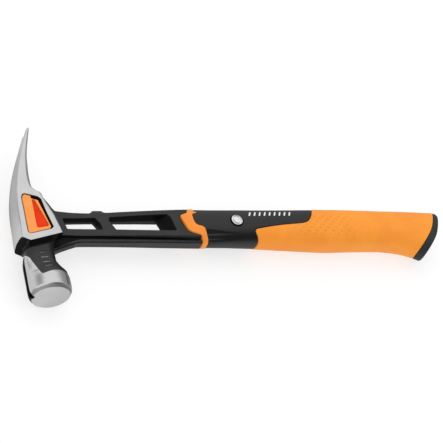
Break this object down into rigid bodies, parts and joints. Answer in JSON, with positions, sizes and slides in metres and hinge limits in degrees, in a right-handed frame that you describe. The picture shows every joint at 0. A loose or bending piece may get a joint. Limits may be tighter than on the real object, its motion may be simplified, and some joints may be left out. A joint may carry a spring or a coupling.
{
  "type": "claw hammer",
  "caption": "Straight-claw framing hammer with a one-piece forged head and windowed shank, an isolated handle and an orange soft grip.",
  "frame": {"origin": "centre of the striking face", "axes": "+X along the handle from the head to the butt, +Y along the head from the striking face to the claw, +Z out of one side of the hammer as it lies flat"},
  "size_m": [0.3908, 0.16, 0.0346],
  "materials": {
    "polished_steel": "satin, with a black coat on the neck and the shank",
    "magnet": "dull nickel",
    "black_handle_plastic": "satin",
    "black_cap_rubber": "matt",
    "orange_soft_grip": "soft, lightly dimpled",
    "orange_sleeve": "satin",
    "orange_insert": "satin",
    "insert_accent_red": "satin",
    "rivet_steel": "bright",
    "bush_rubber": "matt"
  },
  "bodies": {
    "root": {"head_forging": "polished_steel", "nail_magnet": "magnet", "cheek_insert_left": "orange_insert", "cheek_insert_right": "orange_insert", "insert_accent_left": "insert_accent_red", "insert_accent_right": "insert_accent_red", "isolation_sleeve": "orange_sleeve", "handle_shell": "black_handle_plastic", "grip": "orange_soft_grip", "butt_cap": "black_cap_rubber", "rivet_barrel": "rivet_steel", "rivet_screw": "rivet_steel", "rivet_bushing": "bush_rubber"}
  },
  "joints": []
}
